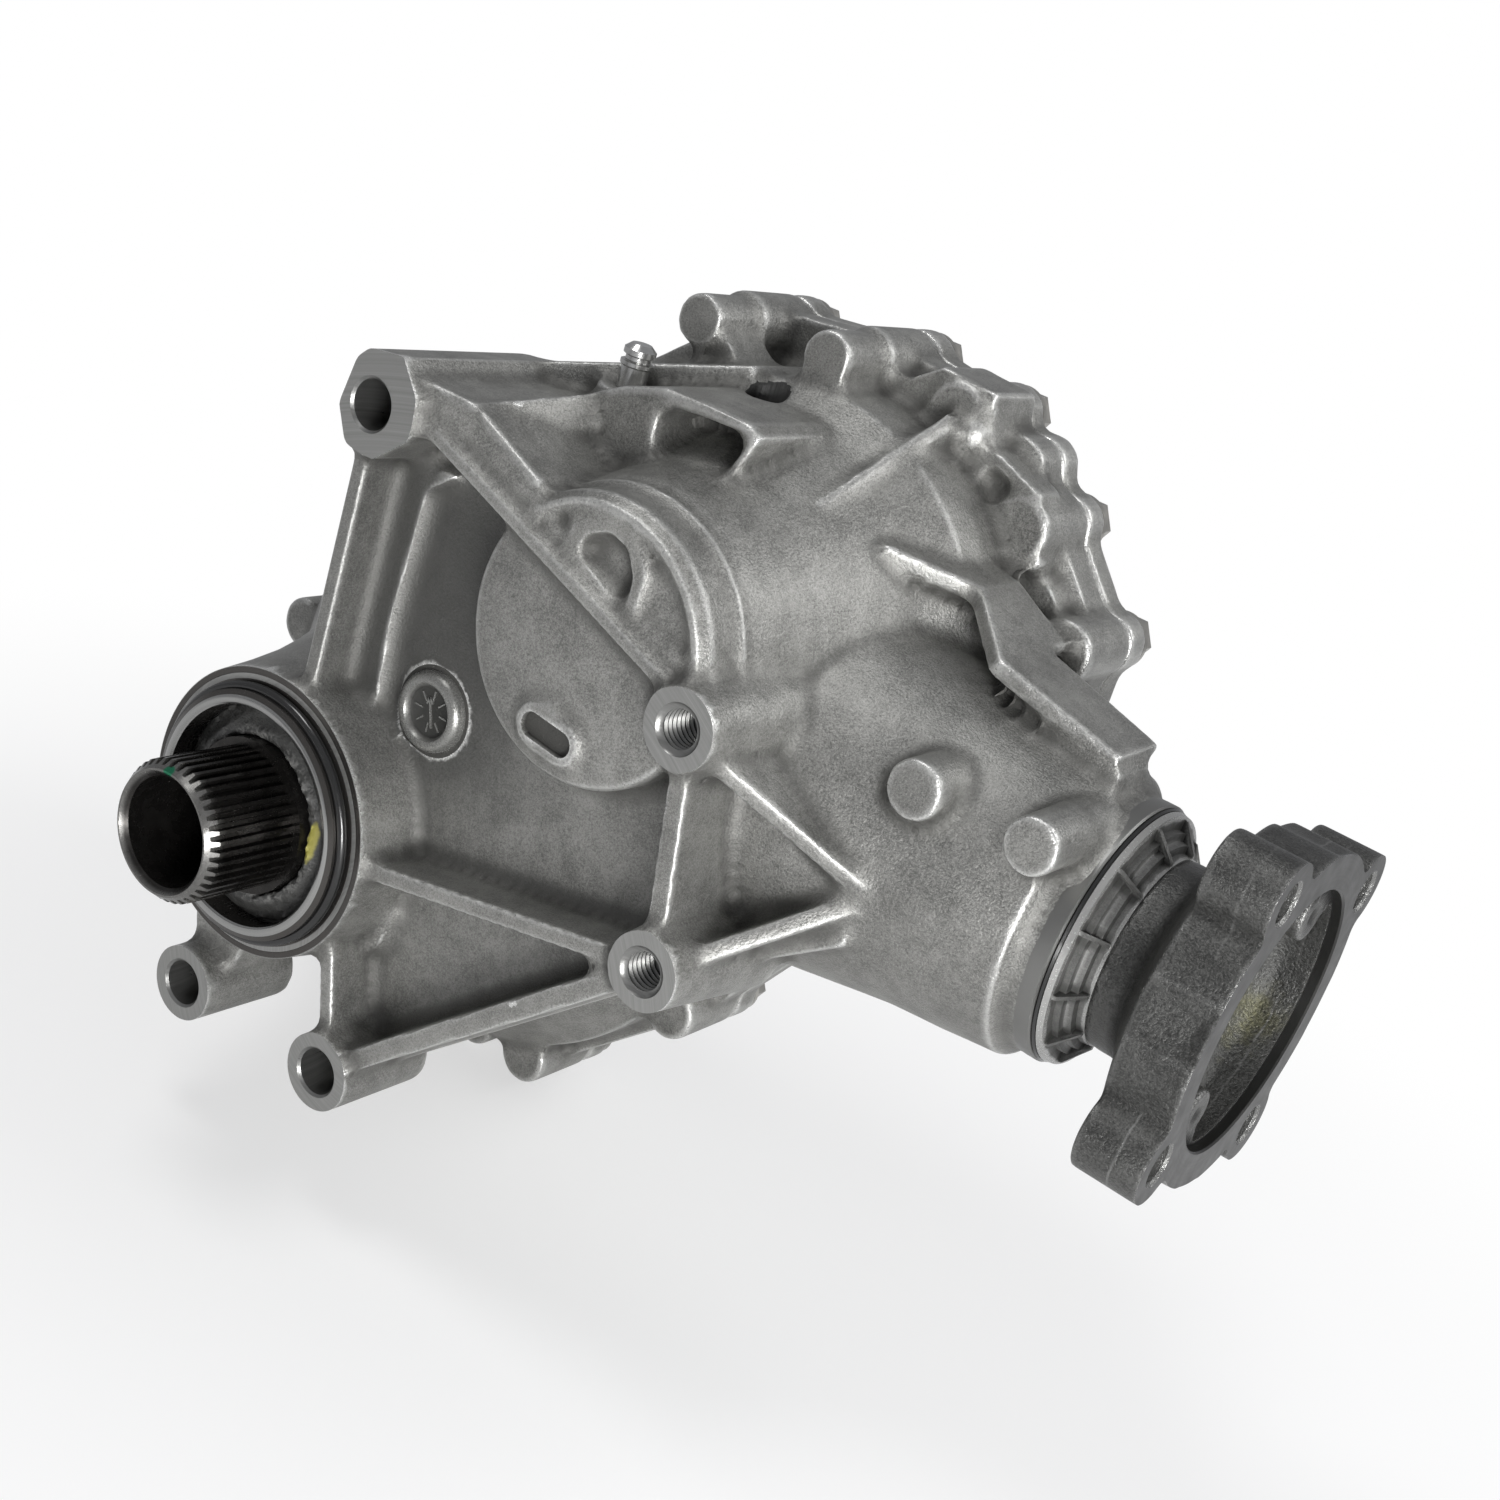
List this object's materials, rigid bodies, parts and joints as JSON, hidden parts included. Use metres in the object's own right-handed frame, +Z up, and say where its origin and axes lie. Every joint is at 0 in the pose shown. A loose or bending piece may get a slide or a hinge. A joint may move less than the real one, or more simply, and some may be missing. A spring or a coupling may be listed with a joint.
{
  "type": "power take-off transfer case",
  "caption": "Cast transfer case with a hollow splined input shaft, helical gear train, hypoid pair and a lobed output flange at right angles.",
  "frame": {"origin": "input shaft axis where it crosses the mounting plane to the gearbox", "axes": "+Y along the input shaft into the case, +X along the output shaft out of the flange, +Z up"},
  "size_m": [0.3719, 0.1963, 0.2831],
  "materials": {
    "casting": "as-cast, fine grain",
    "sealant": "cured silicone bead",
    "bolt_steel": "zinc plated",
    "steel": "ground bearing steel",
    "gear_steel": "oiled, ground teeth",
    "dark_steel": "black, oiled",
    "bright_steel": "machined",
    "cast_iron": "rough, dark",
    "rubber": "smooth"
  },
  "bodies": {
    "housing": {"main_case": "casting", "rear_cover": "casting", "cover_sealant": "sealant", "cover_bolts": "bolt_steel", "cover_dowels": "steel", "fill_plug": "bolt_steel", "drain_plug": "bolt_steel", "breather": "bright_steel", "pilot_o_ring": "rubber", "input_seal": "rubber", "halfshaft_seal": "rubber", "front_bearing_outer": "steel", "rear_bearing_outer": "steel", "transfer_front_cup": "steel", "transfer_rear_cup": "steel", "transfer_shim": "steel", "head_bearing_cup": "steel", "tail_bearing_cup": "steel", "pinion_seal": "rubber"},
    "input": {"input_shaft": "dark_steel", "input_gear": "gear_steel", "gear_snap_ring": "steel", "front_bearing_inner": "steel", "front_bearing_rollers": "steel", "rear_bearing_inner": "steel", "rear_bearing_rollers": "steel"},
    "transfer": {"transfer_shaft": "gear_steel", "transfer_gear": "gear_steel", "hypoid_wheel": "gear_steel", "transfer_spacer": "steel", "transfer_front_cone": "steel", "transfer_front_rollers": "steel", "transfer_rear_cone": "steel", "transfer_rear_rollers": "steel"},
    "output": {"pinion_shaft": "gear_steel", "pinion_shim": "steel", "pinion_spacer": "steel", "head_bearing_cone": "steel", "head_bearing_rollers": "steel", "tail_bearing_cone": "steel", "tail_bearing_rollers": "steel", "output_flange": "cast_iron", "slinger_ring": "bright_steel", "pinion_nut": "bolt_steel"}
  },
  "joints": [
    {"name": "input_spin", "type": "hinge", "parent": "housing", "child": "input", "pos_m": [0, 0, 0], "axis": [0, 1, 0], "continuous": true},
    {"name": "transfer_spin", "type": "hinge", "parent": "housing", "child": "transfer", "pos_m": [0.089, 0, 0.0926], "axis": [0, 1, 0], "continuous": true},
    {"name": "output_spin", "type": "hinge", "parent": "housing", "child": "output", "pos_m": [0, 0.0755, 0.0635], "axis": [1, 0, 0], "continuous": true}
  ],
  "couplings": [
    {"joint": "transfer_spin", "follows": "input_spin", "ratio": -1.7812},
    {"joint": "output_spin", "follows": "input_spin", "ratio": 3.9188}
  ]
}
